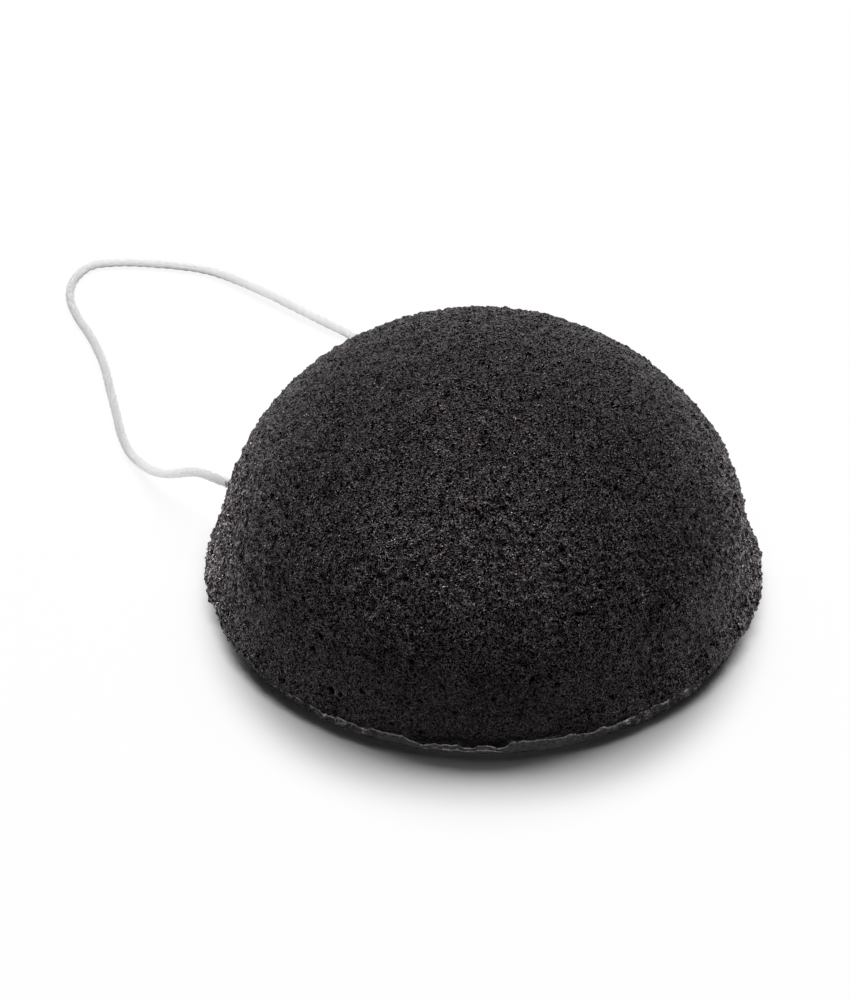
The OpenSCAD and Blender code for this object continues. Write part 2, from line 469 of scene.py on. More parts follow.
def grid_faces(n, first, flip):
    """Faces of the grid, whose points start at first."""
    k = np.arange(n * (n + 1)).reshape(n, n + 1)[:, :-1].ravel() + first
    faces = np.stack([k, k + n + 1, k + n + 2, k + 1], 1)
    return faces[:, ::-1] if flip else faces


def band_faces(upper, lower):
    """Faces between two rings of point numbers."""
    return np.stack([upper, lower, np.roll(lower, -1), np.roll(upper, -1)], 1)


def points_round(azimuth, r, z):
    """Points round an upright axis."""
    return np.column_stack([r * np.cos(azimuth), r * np.sin(azimuth), z])


def view_turn(azimuth):
    """Degrees round the foot as the camera sees it: 0 at the right, 90 in front and 180 at the left."""
    return (np.degrees(-azimuth) + degrees(CAMERA_AZIMUTH)) % 360


def turn_of(points):
    """The view turn of each point."""
    return view_turn(np.arctan2(points[:, 1], points[:, 0]))


# How far the foot stands out: view turn and its spread in degrees, and mm
FOOT_DENTS = [(163, 9, -0.6), (20, 10, -0.5), (85, 42, -2.0)]
DENT_FADE = 4.5  # mm of height over which they fade
# The base skin's height round the foot: view turn in degrees, and mm
SKIN_HIGH = [
    (12, 0.3), (22, 0.8), (35, 1.05), (51, 1.2), (59, 1.0), (69, 0.9), (70, 1.15), (84, 1.1), (86, 0.6),
    (88, 0.8), (102, 0.8), (108, 0.9), (123, 0.9), (140, 0.8), (152, 0.5), (160, 0.3),
]
SKIN_LIMITS = (0.25, 1.6)  # mm, its least and its greatest height
SKIN_SEEN = (14, 28, 140, 158)  # view turns between which it shows as a strip of its own
SKIN_SMOOTH = (56, 70, 106, 120)  # view turns between which it is smooth and not crinkled
SKIN_RIDGE = (85, 88, 100, 104)  # view turns between which a second ridge runs along its face
SKIN_OUT = 0.08  # mm, by which its rim stands out from the plain foot
SKIN_LEAN = 0.8  # mm that its face leans out for each mm of its height
SKIN_GAP = 0.3  # mm, height of the crack above it
GROOVE_GAP = 0.75  # mm, by which the crack opens into a groove low on the right
GROOVE_TURN = (42, 17)  # the groove's middle and its spread, in degrees of view turn
CRACK_DEEP = 0.45  # mm
CURL = 0.35  # mm, by which the foam draws in at the crack
CURL_FADE = 0.45  # mm
BEAD_R = 0.13  # mm, radius of the bead along the skin's upper edge
BEAD_RINGS = [(150, 0.3), (100, 1.0), (50, 1.0), (5, 0.5)]  # degrees over the bead, and how bright
FACE_RINGS = (0.08, 0.2, 0.32, 0.42, 0.52, 0.62, 0.74, 0.86, 0.95)  # shares of the way down its face
# How the skin wanders round the foot: size in mm, seed and mm
HEIGHT_WAVES = [(1.6, 72, 0.18), (0.7, 73, 0.15)]
RIM_WAVES = [(7, 74, 0.2), (2.2, 75, 0.14)]
CRACK_WAVES = [(2.5, 76, 0.2)]
BEAD_WAVES = [(0.8, 77, 0.05)]


def within(turn, start, full, fading, end):
    """1 from full to fading, and 0 before the start and after the end."""
    return eased(turn, start, full) * (1 - eased(turn, fading, end))


def foot_shift(azimuth):
    """How far the foot stands out round the sponge, in mm."""
    turn = view_turn(azimuth)
    return sum(out * hump(turn, middle, spread) for middle, spread, out in FOOT_DENTS)


def ring_of(azimuth):
    """The ring round the foot on which the noise of the skin is read, in mm."""
    return points_round(azimuth, LIP_R, azimuth * 0)


def skin_shown(azimuth):
    """Where the base skin shows as a strip of its own, from 0 to 1."""
    return within(view_turn(azimuth), *SKIN_SEEN)


def skin_height(azimuth):
    """How high the base skin shows round the foot, in mm."""
    turns, heights = zip(*SKIN_HIGH)
    plain = np.interp(view_turn(azimuth), turns, heights)
    wave = waves(ring_of(azimuth), HEIGHT_WAVES)
    return np.clip(plain + wave * (0.4 + 0.6 * skin_shown(azimuth)), *SKIN_LIMITS)


def groove(azimuth):
    """Where the crack above the skin is a wide groove, from 0 to 1."""
    return hump(view_turn(azimuth), *GROOVE_TURN)


def crinkled(azimuth):
    """Where the skin is as crinkled as the foam, from 0 to 1: all but the middle of the front."""
    return 1 - within(view_turn(azimuth), *SKIN_SMOOTH)


def bead_of(azimuth):
    """Radius of the bead along the skin's edge, in mm, and how its bright bits lie along it."""
    ring = ring_of(azimuth)
    crinkle = crinkled(azimuth)
    bead = BEAD_R + waves(ring, BEAD_WAVES) + crinkle * 0.1 * (1 + noise(ring, 0.55, 79))
    bits = 1 + crinkle * (2.4 * np.clip(noise(ring, 0.8, 80) + 0.1, 0, 1) - 0.35)
    return bead, bits * skin_shown(azimuth)


def crack_rings(azimuth, last_r, edge_r, bead, high):
    """Rings from the foam's last ring into the crack and out of it to the skin's bead."""
    gap = SKIN_GAP + GROOVE_GAP * groove(azimuth)
    deep = CRACK_DEEP * (1 + groove(azimuth))
    crack_r = np.minimum(last_r, edge_r) - deep + waves(ring_of(azimuth), CRACK_WAVES)
    rings = []
    for share in (0.35, 0.7, 1.0):
        rings.append((last_r + (crack_r - last_r) * share, high + gap * (1 - 0.5 * share), 0, 0))
    for share in (0.4, 0.8):
        r = crack_r + (edge_r - bead - crack_r) * share
        rings.append((r, high + SKIN_GAP * 0.3 * (1 - share), share, 0))
    return rings


def face_ring(azimuth, start_r, rim_r, height, share):
    """One ring on the skin's face, at a share of the way down from the bead to the rim."""
    ring = ring_of(azimuth)
    crinkle = crinkled(azimuth)
    z = height * (1 - share)
    place = np.column_stack([ring[:, :2], z * 1.3])
    fine = noise(place, 0.5, 81)
    ripple = noise(place, 1.1, 78) * 0.10 + fine * (0.05 + 0.17 * crinkle)
    raised = np.clip(fine * 2.2, 0, 1) * crinkle * skin_shown(azimuth) * (1 - share) * 0.6
    ridge = within(view_turn(azimuth), *SKIN_RIDGE) * hump(share, 0.5, 0.13)
    r = start_r + (rim_r - start_r) * share**0.9 + ripple + ridge * 0.13
    return r, z, 1 - 0.25 * crinkle, np.maximum(ridge * 0.8, raised)


def skin_rings(azimuth, last_r, high):
    """Rings round the crack, over the skin's beaded edge and down its face to the floor.
    Each is a radius and a height in mm, and its shares of skin and of bright edge."""
    rim_r = foam_r(np.array(0)) + SKIN_OUT + waves(ring_of(azimuth), RIM_WAVES)
    edge_r = rim_r - SKIN_LEAN * high * (0.3 + 0.7 * skin_shown(azimuth))
    bead, bits = bead_of(azimuth)
    rings = crack_rings(azimuth, last_r, edge_r, bead, high)
    for tilt, bright in BEAD_RINGS:
        across, up = cos(radians(tilt)), sin(radians(tilt))
        rings.append((edge_r + across * bead, high - bead + up * bead, 1, np.clip(bits * bright, 0, 1)))
    for share in FACE_RINGS:
        rings.append(face_ring(azimuth, edge_r + bead * 0.6, rim_r, high - 1.5 * bead, share))
    for inset, z in ((0.02, 0.02), (0.3, 0), (0.9, 0)):
        rings.append((rim_r - inset, high * 0 + z, 1, 0))
    return rings


# Larger pores of the front, by their middle in the photograph (px) and their half width (mm)
PORES_PX = [
    (304, 645, 0.55), (313, 651, 0.5), (332, 691, 0.6), (342, 694, 0.45), (364, 693, 0.6),
    (422, 703, 0.6), (387, 652, 0.4), (412, 663, 0.5), (310, 612, 0.4), (351, 515, 0.3),
    (382, 514, 0.3), (338, 532, 0.35), (482, 517, 0.35), (457, 532, 0.35), (519, 470, 0.4),
    (528, 533, 0.38), (534, 533, 0.38), (476, 508, 0.35), (491, 508, 0.3), (603, 584, 0.45),
    (622, 586, 0.35), (491, 604, 0.45), (523, 624, 0.4), (621, 628, 0.45), (556, 666, 0.5),
    (579, 642, 0.4), (722, 606, 0.4), (699, 658, 0.45), (632, 686, 0.4), (589, 709, 0.5),
    (524, 678, 0.4), (495, 699, 0.5),
]
PORE_DEEP = 0.75  # mm
PORE_FACING = 0.15  # how far the foam must face the camera to have one
PORE_FLOOR = (0.5, 1.1)  # half widths from its middle to where its floor ends and its wall ends
PORE_RING = (1.3, 0.22)  # the same to its bright rim, and the rim's spread
PORE_RIM = 0.14  # how much of the skin's bright edge that rim has
# Layers of the foam's relief: size in mm, seed and height in mm. All but the lumps are scaled by how
# crumbly the foam is.
LUMPS = [(15, 1, 0.22), (6.5, 2, 0.14), (2.6, 3, 0.10), (1.3, 4, 0.10)]
BENT_GRIT = [(0.6, 7, 0.13)]
GRIT = [(0.38, 8, 0.12)]
SPIKES = [(0.45, 9, 0.14), (1.2, 10, 0.16)]
WARP = 0.35  # mm, by which the finer forms are bent
CRUMB_SIZE = 0.95  # mm
CRUMB_HIGH = 0.45  # how steep the crumbs are
WORM_SIZE = 0.9  # mm
WORM_HIGH = 0.12  # mm, height of the winding ridges
SPLIT_SIZE = 1.6  # mm between the small splits
SPLIT_DEEP = 0.16  # mm
SMALL_PORE_SIZE = 1.9  # mm, in each cell of which one may lie
SMALL_PORE_DEEP = 0.5  # mm
RELIEF_DOWN = 0.12  # mm, by which the whole relief is sunk into the plain outline
CROWN_FROM = (6, 20)  # mm of height between which the low foam turns into the crown's


def in_photo(points):
    """Where points lie in the photograph, in px from its left and from its top."""
    right, up, back = (np.array(axis) for axis in camera_axes())
    away = CAMERA_FAR / MM - points @ back
    x = BASE_PX[0] + FOCUS_PX * (points @ right) / away
    return x, BASE_PX[1] - FOCUS_PX * (points @ up) / away


def pores_at(points, ways, warp):
    """How deep each point lies in one of the larger pores, and how near a pore's rim, from 0 to 1."""
    back = np.array(camera_axes()[2])
    seen_x, seen_y = in_photo(points)
    hidden = (ways @ back < PORE_FACING) * 1e4
    near = np.full(len(points), 9.0)
    for x, y, half in PORES_PX:
        middle = points[np.argmin(np.hypot(seen_x - x, seen_y - y) + hidden)]
        off = (points - middle + warp * 0.8) / [half, half, half * 0.6]
        near = np.minimum(near, norm(off, axis=1))
    return 1 - eased(near, *PORE_FLOOR), hump(near, *PORE_RING)


def scattered_pores(points, warp, share, seed):
    """How deep each point lies in small pores of random place and width, from 0 to 1."""
    flat = (points + warp * 0.7) * [1, 1, 1.5]
    far, _, own = nearest_two(flat, SMALL_PORE_SIZE, seed)
    wide = 0.12 + 0.16 * (own / np.maximum(share, 0.01)) % 1
    return (1 - eased(far, wide * 0.45, wide * 1.3)) * (own < share)


def foam_relief(points, lower, crisp):
    """Height of the foam's surface over its plain outline, in mm, and how deep each point lies in a pit.
    lower is 1 low on the side and 0 on the crown, and crisp is 1 where the foam is most crumbly."""
    warp = np.stack([noise(points, 1.1, 11 + k) for k in range(3)], 1) * WARP
    bent = points + warp
    crumb, _, own = nearest_two(bent, CRUMB_SIZE, 41)
    crumbs = (0.45 - np.minimum(crumb, 0.75)) * (0.5 + own) * (1 - 0.45 * lower)
    worms = 1 - np.abs(noise(bent, WORM_SIZE, 5)) * 2.2
    first, second, _ = nearest_two(bent, SPLIT_SIZE, 21)
    split = (1 - eased(second - first, 0.03, 0.22)) * eased(noise(points, 4.5, 6), -0.2, 0.35)
    split = split * (0.45 + 0.55 * lower)
    pore = scattered_pores(points, warp, 0.09 + 0.1 * lower, 31)
    rough = crumbs * CRUMB_HIGH + worms * WORM_HIGH + waves(bent, BENT_GRIT) + waves(points, GRIT)
    spiky = (rough + waves(points, SPIKES)) * (0.36 + 1.04 * crisp)
    relief = waves(points, LUMPS) + spiky - split * SPLIT_DEEP - pore * SMALL_PORE_DEEP - RELIEF_DOWN
    # The lowest parts of the relief also count as pit, which the colour paints near black as shade.
    gaps = np.clip(-0.02 - rough, 0, 1) * (0.8 + 2.8 * crisp)
    pit = np.clip(pore * 0.9 + split * 0.45 + gaps, 0, 1)
    return relief, pit, warp


# Soft areas of the foam: a view turn and its spread, and heights in mm over which they start and end
SIDE_TURNS = (48, 92, 90, 124)  # degrees from the front between which a side starts and ends
SIDE_BELOW = (10, 33)  # mm of height over which it ends
CALM = ((92, 52), None, (8, 21))  # low in front, where the foam is least crumbly
PLAIN_WET = 0.72
SIDE_WET = 0.14  # less of it at the sides: twice that on the right, and nothing on the left
# What areas add to the foam's shine: half way up in front, low in front, there but for the very foot,
# on the right, on the left, and on the crown
WET_AREAS = [
    (0.33, ((95, 28), (13, 23), (26, 37))),
    (-0.126, ((95, 40), None, (13, 23))),
    (-0.084, ((95, 40), (6, 11), (13, 23))),
    (-0.36, ((35, 28), (8, 20), (32, 38.5))),
    (-0.2, ((146, 26), (4, 14), (32, 38.5))),
    (-0.13, (None, (26, 37), None)),
]


def area(points, around, above, below):
    """How far each point lies in a soft area of the foam, from 0 to 1."""
    share = np.ones(len(points))
    if around:
        share *= hump(turn_of(points), *around)
    if above:
        share *= eased(points[:, 2], *above)
    if below:
        share *= 1 - eased(points[:, 2], *below)
    return share


def side_share(points):
    """How far each point lies low on the foam's left or right, from 0 to 1. There its glints are stronger
    and it has sheen streaks, which add shine and are also painted into its colour as highlights.
    """
    far_round = np.abs((turn_of(points) - 90 + 180) % 360 - 180)
    return within(far_round, *SIDE_TURNS) * area(points, None, None, SIDE_BELOW)


def crispness(points):
    """How crumbly the foam is and how strong its glints are, from 0 to 1. The glints add shine and are also
    painted highlights in its colour.
    """
    return np.clip(0.44 - 0.36 * area(points, *CALM) + 0.5 * side_share(points), 0, 1)


def wetness(points):
    """How much the foam shines."""
    wet = PLAIN_WET + sum(more * area(points, *where) for more, where in WET_AREAS)
    return wet - SIDE_WET * (1 + np.cos(np.radians(turn_of(points)))) * side_share(points)


FOOT_FADE = (0.6, 2.2)  # mm of height between which the relief grows from the foot's to its own
FOOT_RELIEF = 0.35  # share of the relief that the foot has
UNDER_Z = -30  # mm, where the noise of the underside is read
UNDER_KIND = (0.7, 0.5)  # how like the low foam it is, and how crumbly


def plain_rows(line, where, azimuth, crack_z):
    """Points of the plain foam at arc lengths down its outline, in mm, and the directions out of it."""
    arc, r_line, z_line = line
    z = np.interp(where, arc, z_line)
    r = np.interp(where, arc, r_line) + foot_shift(azimuth) * hump(z, 0, DENT_FADE)
    r -= CURL * hump(z, crack_z, CURL_FADE)
    behind, ahead = where - SLOPE_STEP, where + SLOPE_STEP
    dr, dz = (np.interp(ahead, arc, axis) - np.interp(behind, arc, axis) for axis in line[1:])
    size = np.hypot(dr, dz)
    return points_round(azimuth, r, z), points_round(azimuth, -dz / size, dr / size)


def plain_foam(across, around, columns, end_z):
    """The foam without its relief, from its crown's grid down its side to the crack: its points, in
    mm, and the directions out of it."""
    line = outline()
    arc, _, z_line = line
    end_arc = np.interp(-end_z, -z_line, arc)
    crown_end = np.interp(around % (2 * pi), columns, end_z)
    parts = [plain_rows(line, across * CROWN_ARC, around, crown_end)]
    for row in range(1, SIDE_ROWS + 1):
        where = CROWN_ARC + (end_arc - CROWN_ARC) * row / SIDE_ROWS
        parts.append(plain_rows(line, where, columns, end_z))
    spots, ways = (np.vstack(part) for part in zip(*parts))
    return spots, ways / norm(ways, axis=1, keepdims=True)


def roughened(plain, ways):
    """The foam with its relief and its larger pores, and each point's shares of pit and of pore rim."""
    lower = 1 - eased(plain[:, 2], *CROWN_FROM)
    relief, pit, warp = foam_relief(plain, lower, crispness(plain))
    big, rim_of_pore = pores_at(plain, ways, warp)
    relief = relief - big * PORE_DEEP
    relief = relief * (FOOT_RELIEF + (1 - FOOT_RELIEF) * eased(plain[:, 2], *FOOT_FADE))
    return plain + ways * relief[:, None], np.maximum(pit, big), rim_of_pore * PORE_RIM


def underside(across, around, columns, foot_r):
    """The flat base, with its pores pushed in, and each point's share of pit."""
    turns, radii = np.append(columns, 2 * pi), np.append(foot_r, foot_r[0])
    r = across * np.interp(around % (2 * pi), turns, radii)
    flat = points_round(around, r, across * 0)
    relief, pit, _ = foam_relief(flat + [0, 0, UNDER_Z], *UNDER_KIND)
    flat[:, 2] = np.clip(0.12 - relief * 0.6, 0, 1.2) * eased(1 - across, 0, 0.03)
    return flat, pit


def foam_faces(rim, rows):
    """Faces of the crown's grid, of the rows below it and of the base's grid."""
    first = (FOAM_N + 1) ** 2
    base = first + rows * len(rim)
    rings = [rim, *np.arange(first, base).reshape(rows, -1), rim + base]
    bands = [band_faces(upper, lower) for upper, lower in zip(rings, rings[1:])]
    return np.vstack([grid_faces(FOAM_N, 0, False), *bands, grid_faces(FOAM_N, base, True)])


def foam_mesh():
    """The foam body: a crown and a base of squares, with rows of squares between them, and the values
    that its material reads at each corner."""
    across, around = disc_grid(FOAM_N)
    rim = rim_of_grid(across, around)
    columns = around[rim] % (2 * pi)
    high = skin_height(columns)
    end_z = high + SKIN_GAP + GROOVE_GAP * groove(columns)
    top, pit, bright = roughened(*plain_foam(across, around, columns, end_z))
    parts = [(top, pit, 0, bright)]
    last = top[-len(columns):]
    rings = skin_rings(columns, np.hypot(last[:, 0], last[:, 1]), high)
    for r, z, skin, bright in rings:
        # The crack's rings count wholly as pit, so the colour paints them near black as shade.
        in_crack = np.max(skin) < 0.1
        parts.append((points_round(columns, r, np.maximum(z, 0)), in_crack, skin, bright))
    flat, pit = underside(across, around, columns, rings[-1][0])
    parts.append((flat, pit, 0, 0))

    corners = np.vstack([part[0] for part in parts])
    values = {"crisp": crispness(corners), "side": side_share(corners), "wet": wetness(corners)}
    for k, name in enumerate(("pit", "skin", "edge"), 1):
        values[name] = np.concatenate([np.zeros(len(part[0])) + part[k] for part in parts])
    return corners, foam_faces(rim, SIDE_ROWS + len(rings)), values


DIMPLE_R = 2.2  # mm
DIMPLE_FLAT = 0.55  # mm, radius of its flat middle
DIMPLE_DEEP = 1.0  # mm
DIMPLE_REACH = 4  # mm into the foam, past which nothing is drawn in


def dimpled(corners):
    """The foam drawn in round each mouth, where the cord pulls it."""
    for sign in (-1, 1):
        place, way = mouth_place(sign)
        off = corners - (place - way * MOUTH_STUB)
        side = norm(off - np.outer(off @ way, way), axis=1)
        near = (1 - eased(side, DIMPLE_FLAT, DIMPLE_R)) * (off @ way > -DIMPLE_REACH)
        corners = corners - near[:, None] * DIMPLE_DEEP * way
    return corners


# Materials

def nodes_of(name):
    """A new material, its nodes and its shader."""
    material = bpy.data.materials.new(name)
    material.use_nodes = True
    tree = material.node_tree
    return material, tree, tree.nodes["Principled BSDF"]


def set_inputs(tree, node, inputs):
    """Sets inputs of a node, by name or number, each to a plain value or to what a socket gives."""
    for key, value in dict(inputs).items():
        if hasattr(value, "links"):
            tree.links.new(value, node.inputs[key])
        else:
            node.inputs[key].default_value = value


def node_of(tree, kind, inputs=(), **settings):
    """A new node with its settings and inputs."""
    node = tree.nodes.new("ShaderNode" + kind)
    for name, value in settings.items():
        setattr(node, name, value)
    set_inputs(tree, node, inputs)
    return node


def colour_of(value):
    """A socket as it is, and a plain colour or a grey's number with its alpha."""
    if hasattr(value, "links"):
        return value
    return (*value, 1) if isinstance(value, tuple) else (value, value, value, 1)


def ramp(tree, source, stops):
    """A colour ramp over a value."""
    node = node_of(tree, "ValToRGB", {0: source})
    line = node.color_ramp
    while len(line.elements) < len(stops):
        line.elements.new(0.5)
    for element, (place, colour) in zip(line.elements, stops):
        element.position = place
        element.color = colour_of(colour)
    return node.outputs["Color"]


def blend_colours(tree, share, a, b, kind="MIX"):
    """Two colours mixed by a share, each a socket, a plain colour or a grey's number."""
    inputs = {0: share, 6: colour_of(a), 7: colour_of(b)}
    return node_of(tree, "Mix", inputs, data_type="RGBA", blend_type=kind).outputs[2]


def math_node(tree, operation, *values):
    """A sum over sockets or plain numbers."""
    return node_of(tree, "Math", enumerate(values), operation=operation).outputs[0]


def scaled(tree, source, factor, plus=0.0):
    """A number times a factor, plus another."""
    return math_node(tree, "MULTIPLY_ADD", source, factor, plus)


def vector_node(tree, operation, *values):
    """A sum over sockets or plain vectors."""
    return node_of(tree, "VectorMath", enumerate(values), operation=operation)


def object_place(tree):
    return node_of(tree, "TexCoord").outputs["Object"]


def value_of(tree, name):
    """A number stored on the mesh."""
    return node_of(tree, "Attribute", attribute_name=name).outputs["Fac"]


def noise_of(tree, place, per_mm, detail, rough=0.5, output="Fac"):
    """Noise with so many blobs in a millimetre."""
    inputs = {"Vector": place, "Scale": per_mm / MM, "Detail": detail, "Roughness": rough}
    return node_of(tree, "TexNoise", inputs).outputs[output]


def bump(tree, height, distance_mm):
    return node_of(tree, "Bump", {"Distance": distance_mm * MM, "Height": height}).outputs["Normal"]


def ridges(tree, source, sharp):
    """Noise turned into winding ridges."""
    off = math_node(tree, "ABSOLUTE", math_node(tree, "SUBTRACT", source, 0.5))
    return math_node(tree, "MAXIMUM", scaled(tree, off, -sharp, 1.0), 0.0)


def crumbs_of(tree, place, per_mm):
    """Rounded crumbs, from 1 at the middle of each down to 0, moved about so that they look grown."""
    move = noise_of(tree, place, 1.5, 1, output="Color")
    moved = vector_node(tree, "MULTIPLY_ADD", move, (0.3 * MM,) * 3, place).outputs[0]
    far = node_of(tree, "TexVoronoi", {"Scale": per_mm / MM, "Vector": moved}).outputs["Distance"]
    return math_node(tree, "MAXIMUM", scaled(tree, far, -1.3, 1.0), 0.0)


def foam_grain_and_painted_light(tree, place):
    """The foam's fine grain: winding ridges, crumbs and specks, about 0 to 1.5. It gives the foam's bumps
    and, in its colour, paler crumb tops as painted highlights and darker gaps as painted shade. Where the
    foam is less crumbly it is drawn toward its mean."""
    grain_and_painted_light = 0.0
    for part, high in (
        (ridges(tree, noise_of(tree, place, 2.6, 0), 7), 0.3),
        (crumbs_of(tree, place, 3.4), 0.45),
        (ridges(tree, noise_of(tree, place, 1.1, 1), 6), 0.15),
        (noise_of(tree, place, 4.8, 0), 0.9),
    ):
        grain_and_painted_light = scaled(tree, part, high, grain_and_painted_light)
    calm = scaled(tree, value_of(tree, "crisp"), -1.4, 0.82)
    calm = math_node(tree, "MAXIMUM", calm, 0.0)
    off = math_node(tree, "SUBTRACT", 0.72, grain_and_painted_light)
    return scaled(tree, off, calm, grain_and_painted_light)


FOAM_TINT = (1.0, 0.86, 0.94)
SHINE_TINT = (1.0, 0.87, 0.93, 1)
# near black painted where the foam is pit: painted shade in its hollows and its crack
PAINTED_PIT_SHADE = 0.0004
PAINTED_GLINT_WHITE = 0.2  # share of white painted into the colour at a glint: a painted highlight, beside its shine
GLINT_SHINE = 5.4
SIDE_GLINT_SHINE = 3.5  # more of it low at the sides
SKIN_SHINE = 0.3
EDGE_SHINE = 4.5
SKIN_FLAT = 0.72  # share of the grain that the skin hides
GRAIN_HIGH = 0.75  # mm
FIBRE_HIGH = 0.04  # mm
LIGHT_REACH = 12  # mm that light travels in the loose cotton


def foam_colour(tree, place, grain_and_painted_light):
    """Colour of the foam's surface, away from its pits and its base skin: partly its real grain and partly
    painted light, with paler crumb tops as painted highlights and darker gaps as painted shade.
    """
    # Painted light: high grain is paler, a painted highlight on the crumb tops, and low grain darker,
    # painted shade between them.
    base = ramp(tree, grain_and_painted_light, [(0.46, 0.0003), (0.75, 0.006), (1.0, 0.09)])
    tints = [(0.36, (0.96, 0.99, 1.03)), (0.5, 1.0), (0.64, (1.06, 1.0, 0.97))]
    for change in (
        ramp(tree, noise_of(tree, place, 0.7, 2, 0.6), [(0.35, 0.75), (0.65, 1.25)]),
        FOAM_TINT,
        ramp(tree, noise_of(tree, place, 0.16, 2), tints),
        ramp(tree, noise_of(tree, place, 0.11, 2), [(0.3, 0.9), (0.7, 1.1)]),
    ):
        base = blend_colours(tree, 1.0, base, change, "MULTIPLY")
    return base


def foam_glints(tree, place):
    """Small glints, and upright sheen streaks low at the sides, from 0 to 1. Both add shine and are also
    painted into the colour as highlights.
    """
    glints = ramp(tree, noise_of(tree, place, 4.5, 0), [(0.66, 0.0), (0.77, 1.0)])
    glints = scaled(tree, glints, value_of(tree, "crisp"))
    tall = vector_node(tree, "MULTIPLY", place, (1, 1, 0.35)).outputs[0]
    sheen_streaks = ramp(tree, noise_of(tree, tall, 2.5, 1), [(0.55, 0.0), (0.65, 1.0)])
    return scaled(tree, sheen_streaks, value_of(tree, "side"), glints)


def foam_shine(tree, place, grain_and_painted_light, glints, pit, skin):
    """How much the foam reflects: its wet high grain, nothing in the pits, and most at the skin's edge."""
    shine = ramp(tree, grain_and_painted_light, [(0.64, 0.0), (1.0, 1.1)])
    strong = scaled(tree, value_of(tree, "side"), SIDE_GLINT_SHINE, GLINT_SHINE)
    shine = scaled(tree, glints, strong, shine)
    shine = scaled(tree, shine, value_of(tree, "wet"))
    shine = blend_colours(tree, pit, shine, 0.0)
    shine = blend_colours(tree, skin, shine, SKIN_SHINE)
    broken = ramp(tree, noise_of(tree, place, 1.8, 2, 0.6), [(0.36, 0.1), (0.66, 1.0)])
    edge = scaled(tree, value_of(tree, "edge"), broken)
    return blend_colours(tree, edge, shine, EDGE_SHINE)


def foam_material():
    """Moist black foam: fine dark grain, small glints that shine and are also painted into its colour as
    highlights, pits painted near black as shade, and a smoother, paler base skin.
    """
    material, tree, shader = nodes_of("black_foam")
    place = object_place(tree)
    grain_and_painted_light = foam_grain_and_painted_light(tree, place)
    pit, skin = value_of(tree, "pit"), value_of(tree, "skin")
    glints = foam_glints(tree, place)
    base = foam_colour(tree, place, grain_and_painted_light)
    # Painted highlight: the glints and sheen streaks lighten the colour toward white.
    base = blend_colours(tree, scaled(tree, glints, PAINTED_GLINT_WHITE), base, 1.0)
    # Painted shade: pits, pores, splits, crumb gaps and the crack turn near black.
    base = blend_colours(tree, pit, base, PAINTED_PIT_SHADE)
    mottle = [(0.36, (0.08, 0.082, 0.086)), (0.62, (0.26, 0.264, 0.272))]
    base = blend_colours(tree, skin, base, ramp(tree, noise_of(tree, place, 2.6, 3, 0.65), mottle))
    rough = scaled(tree, noise_of(tree, place, 0.9, 2), 0.3, 0.15)
    height = scaled(tree, grain_and_painted_light, scaled(tree, skin, -SKIN_FLAT, 1.0))
    set_inputs(tree, shader, {
        "Base Color": base,
        "Specular IOR Level": foam_shine(tree, place, grain_and_painted_light, glints, pit, skin),
        "Specular Tint": SHINE_TINT,
        "Roughness": rough,
        "Normal": bump(tree, height, GRAIN_HIGH),
    })
    return material


def cotton_material():
    """White cotton, which lets some light through, with the fine lie of its fibres."""
    material, tree, shader = nodes_of("white_cotton")
    place = object_place(tree)
    fibre = noise_of(tree, place, 7.0, 3, 0.6)
    patch = noise_of(tree, place, 0.35, 2, 0.5)
    base = ramp(tree, fibre, [(0.3, (0.95, 0.95, 0.945)), (0.6, (0.99, 0.99, 0.985))])
    light = ramp(tree, patch, [(0.3, (0.98, 0.98, 0.975)), (0.7, 1.0)])
    set_inputs(tree, shader, {
        "Base Color": blend_colours(tree, 1.0, base, light, "MULTIPLY"),
        "Roughness": 0.85,
        "Specular IOR Level": 0.2,
        "Subsurface Weight": 1.0,
        "Subsurface Scale": LIGHT_REACH * MM,
        "Subsurface Radius": (1.0,) * 3,
        "Sheen Weight": 0.3,
        "Normal": bump(tree, fibre, FIBRE_HIGH),
    })
    return material


# Floor and light

FLOOR_HALF = 3.0  # m
FLOOR_TINT = (0.985, 0.985, 0.99, 1)
FLOOR_Z = -0.02  # mm, just under the foot
SHADE_HALF = (39.2, 51.6)  # mm, half size of the shaded ground round the foot, across the view and along it
SHADE_EDGE = (0.92, 1.12)  # where that ground starts and ends to turn white, as shares of its half size
SHADE_WHITE = 0.9  # share of plain white that the camera sees in the floor beyond it
KEY_TURN = 2  # degrees to the camera's right of straight behind the sponge
KEY_RISE = 62  # degrees above the floor
KEY_FAR = 2.4  # m
KEY_SIZE = (2.8, 0.9)  # m, wide and high
KEY_WATTS = 62.961
GLOW_SIZE = (4.0, 1.8)  # m, a wider and dimmer lamp round it, which softens its edge
GLOW_WATTS = 15.224
SKY_LEVEL = 0.02


def seen_share(tree):
    """1 for what the camera sees straight, in a reflection or through glass, and 0 for light on the
    sponge."""
    path = node_of(tree, "LightPath").outputs
    seen = math_node(tree, "MAXIMUM", path["Is Camera Ray"], path["Is Glossy Ray"])
    return math_node(tree, "MAXIMUM", seen, path["Is Transmission Ray"])


